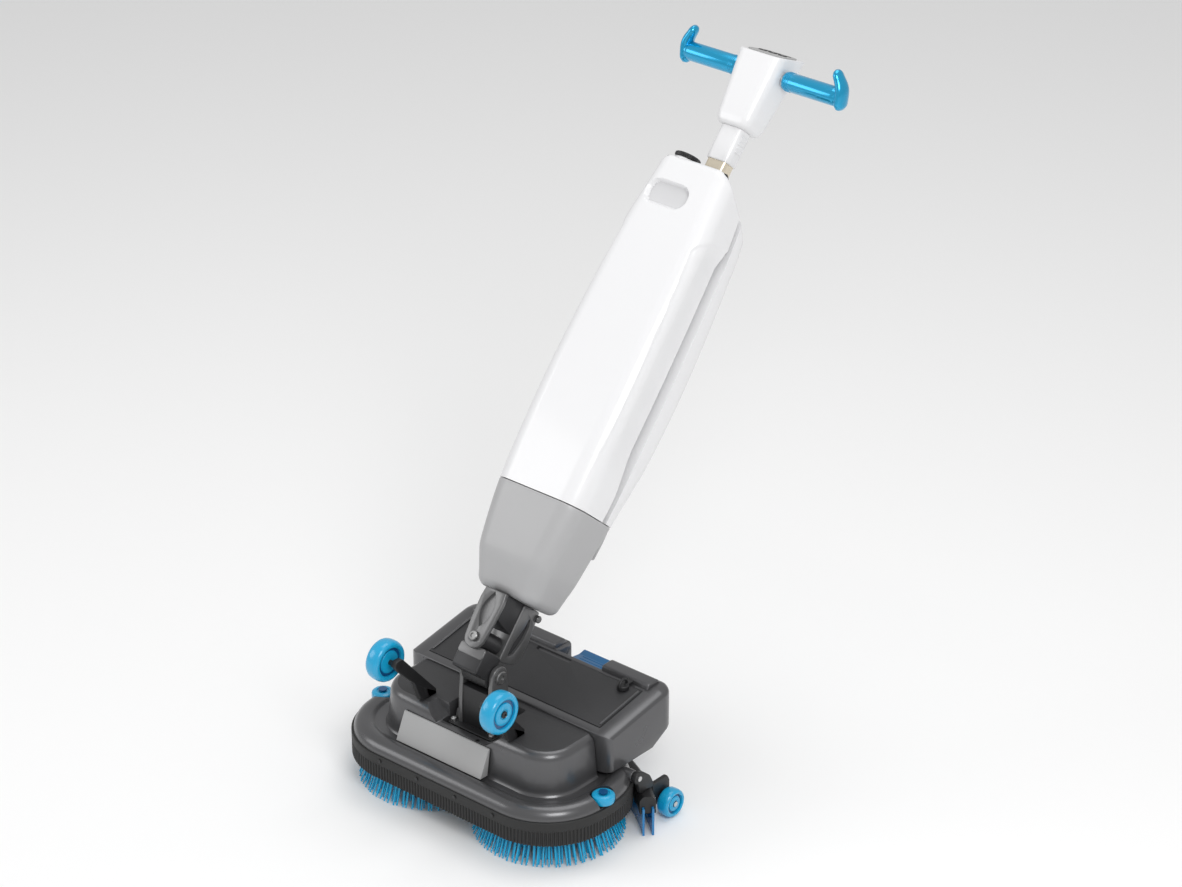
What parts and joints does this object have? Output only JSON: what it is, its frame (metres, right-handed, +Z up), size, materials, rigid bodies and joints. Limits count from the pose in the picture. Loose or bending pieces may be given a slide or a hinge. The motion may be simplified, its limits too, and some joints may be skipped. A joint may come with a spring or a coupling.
{
  "type": "floor scrubber",
  "caption": "Walk-behind wet and dry floor scrubber: twin disc brush deck, leaning tank column on a two-axis neck, T-bar handle, curved squeegee.",
  "frame": {"origin": "on the floor under the middle of the whole machine's bounding box", "axes": "+Z up, +Y to the operator and rear, -Y to the transport wheels at the front, +X to the machine's left when seen from the operator's place"},
  "size_m": [0.48, 0.7963, 0.9948],
  "materials": {
    "anthracite": "satin graphite moulding",
    "pan": "graphite powder coat",
    "plate_grey": "satin grey",
    "base_grey": "satin grey",
    "white": "satin white",
    "black": "fine texture",
    "black_rubber": "matte",
    "bristle_blue": "nylon",
    "wheel_blue": "gloss",
    "grip_blue": "pearl gloss",
    "pedal_blue": "satin",
    "blade_blue": "translucent",
    "cast": "painted casting",
    "steel": "zinc plated",
    "tube": "champagne anodised",
    "motor": "black",
    "cell": "coated pack"
  },
  "bodies": {
    "deck": {"deck_base": "pan", "splash_skirt": "black_rubber", "skirt_screws": "steel", "deck_cover": "anthracite", "rear_housing": "anthracite", "battery_pack": "cell", "label_plate": "plate_grey", "spindle_bearings": "steel", "wheel_axles": "steel", "roller_pins": "steel", "motor_left": "motor", "motor_right": "motor", "wheel_arm_left": "black", "wheel_arm_right": "black", "neck_yoke": "cast", "yoke_bolts": "steel", "pitch_pin": "steel"},
    "lid": {"battery_lid": "anthracite"},
    "latch": {"lid_latch": "black"},
    "brush_left": {"brush_disc_left": "black", "bristles_left": "bristle_blue"},
    "brush_right": {"brush_disc_right": "black", "bristles_right": "bristle_blue"},
    "front_wheel_left": {"transport_wheel_left": "wheel_blue"},
    "front_wheel_right": {"transport_wheel_right": "wheel_blue"},
    "roller_left": {"corner_roller_left": "wheel_blue"},
    "roller_right": {"corner_roller_right": "wheel_blue"},
    "pedal": {"lift_pedal": "pedal_blue"},
    "squeegee": {"squeegee_body": "black", "squeegee_arms": "black", "blade_front": "blade_blue", "blade_rear": "blade_blue", "squeegee_hinge_pins": "steel", "squeegee_axles": "steel"},
    "rear_wheel_left": {"squeegee_wheel_left": "wheel_blue"},
    "rear_wheel_right": {"squeegee_wheel_right": "wheel_blue"},
    "link": {"neck_link": "cast", "roll_pin": "steel"},
    "column": {"neck_fork": "cast", "column_base": "base_grey", "column_spine": "tube", "clean_tank": "white", "tank_lid": "black", "vacuum_motor": "motor", "water_pump": "black"},
    "cap": {"fill_cap": "black"},
    "recovery": {"recovery_tank": "white"},
    "float": {"float_ball": "white"},
    "tank_release": {"tank_latch": "base_grey"},
    "fan": {"vacuum_fan": "black"},
    "handle": {"handle_tube": "tube", "tube_sleeve": "white", "handle_head": "white", "control_panel": "white", "handle_bar": "steel", "grip_left": "grip_blue", "grip_right": "grip_blue"},
    "key_power": {"button_power": "plate_grey"},
    "key_water": {"button_water": "plate_grey"},
    "key_suction": {"button_suction": "plate_grey"}
  },
  "joints": [
    {"name": "column_pitch", "type": "hinge", "parent": "deck", "child": "link", "pos_m": [0, -0.277, 0.223], "axis": [1, 0, 0], "range_deg": [-32, 40.8]},
    {"name": "column_roll", "type": "hinge", "parent": "link", "child": "column", "pos_m": [0, -0.25282, 0.25101], "axis": [0, -0.757, 0.6534], "range_deg": [-25, 25]},
    {"name": "handle_extend", "type": "slide", "parent": "column", "child": "handle", "axis": [0, 0.6534, 0.757], "range_m": [0, 0.15]},
    {"name": "brush_left_spin", "type": "hinge", "parent": "deck", "child": "brush_left", "pos_m": [-0.113, -0.264, 0.05], "axis": [0, 0, 1], "continuous": true},
    {"name": "brush_right_spin", "type": "hinge", "parent": "deck", "child": "brush_right", "pos_m": [0.113, -0.264, 0.05], "axis": [0, 0, 1], "continuous": true},
    {"name": "front_wheel_left_spin", "type": "hinge", "parent": "deck", "child": "front_wheel_left", "pos_m": [-0.11, -0.366, 0.237], "axis": [1, 0, 0], "continuous": true},
    {"name": "front_wheel_right_spin", "type": "hinge", "parent": "deck", "child": "front_wheel_right", "pos_m": [0.11, -0.366, 0.237], "axis": [1, 0, 0], "continuous": true},
    {"name": "roller_left_spin", "type": "hinge", "parent": "deck", "child": "roller_left", "pos_m": [-0.216, -0.264, 0.09], "axis": [0, 0, 1], "continuous": true},
    {"name": "roller_right_spin", "type": "hinge", "parent": "deck", "child": "roller_right", "pos_m": [0.216, -0.264, 0.09], "axis": [0, 0, 1], "continuous": true},
    {"name": "battery_lid_open", "type": "hinge", "parent": "deck", "child": "lid", "pos_m": [0, -0.214, 0.1638], "axis": [1, 0, 0], "range_deg": [0, 35]},
    {"name": "lid_latch_turn", "type": "hinge", "parent": "lid", "child": "latch", "pos_m": [0.14, -0.132, 0.182], "axis": [0, 0, 1], "range_deg": [0, 90]},
    {"name": "pedal_press", "type": "hinge", "parent": "deck", "child": "pedal", "pos_m": [0.038, -0.104, 0.154], "axis": [-1, 0, 0], "range_deg": [0, 25]},
    {"name": "squeegee_lift", "type": "hinge", "parent": "deck", "child": "squeegee", "pos_m": [0, -0.192, 0.09], "axis": [1, 0, 0], "range_deg": [0, 10]},
    {"name": "rear_wheel_left_spin", "type": "hinge", "parent": "squeegee", "child": "rear_wheel_left", "pos_m": [-0.228, -0.128, 0.022], "axis": [1, 0, 0], "continuous": true},
    {"name": "rear_wheel_right_spin", "type": "hinge", "parent": "squeegee", "child": "rear_wheel_right", "pos_m": [0.228, -0.128, 0.022], "axis": [1, 0, 0], "continuous": true},
    {"name": "fill_cap_turn", "type": "hinge", "parent": "column", "child": "cap", "pos_m": [-0.028, 0.20613, 0.85618], "axis": [0, 0.6534, 0.757], "range_deg": [0, 360]},
    {"name": "recovery_tank_out", "type": "slide", "parent": "column", "child": "recovery", "axis": [0, 0.757, -0.6534], "range_m": [0, 0.06]},
    {"name": "float_rise", "type": "slide", "parent": "recovery", "child": "float", "axis": [0, 0.6534, 0.757], "range_m": [0, 0.05]},
    {"name": "tank_release_pull", "type": "hinge", "parent": "column", "child": "tank_release", "pos_m": [0, -0.07293, 0.38503], "axis": [1, 0, 0], "range_deg": [0, 12], "stiffness_Nm_per_rad": 2},
    {"name": "vacuum_fan_spin", "type": "hinge", "parent": "column", "child": "fan", "pos_m": [0.043, -0.15349, 0.43343], "axis": [0, 0.6534, 0.757], "continuous": true},
    {"name": "key_power_press", "type": "slide", "parent": "handle", "child": "key_power", "axis": [0, -0.4643, -0.8857], "range_m": [0, 0.0018], "stiffness_N_per_m": 700},
    {"name": "key_water_press", "type": "slide", "parent": "handle", "child": "key_water", "axis": [0, -0.4643, -0.8857], "range_m": [0, 0.0018], "stiffness_N_per_m": 700},
    {"name": "key_suction_press", "type": "slide", "parent": "handle", "child": "key_suction", "axis": [0, -0.4643, -0.8857], "range_m": [0, 0.0018], "stiffness_N_per_m": 700}
  ],
  "couplings": [
    {"joint": "squeegee_lift", "follows": "pedal_press", "ratio": 0.4}
  ]
}
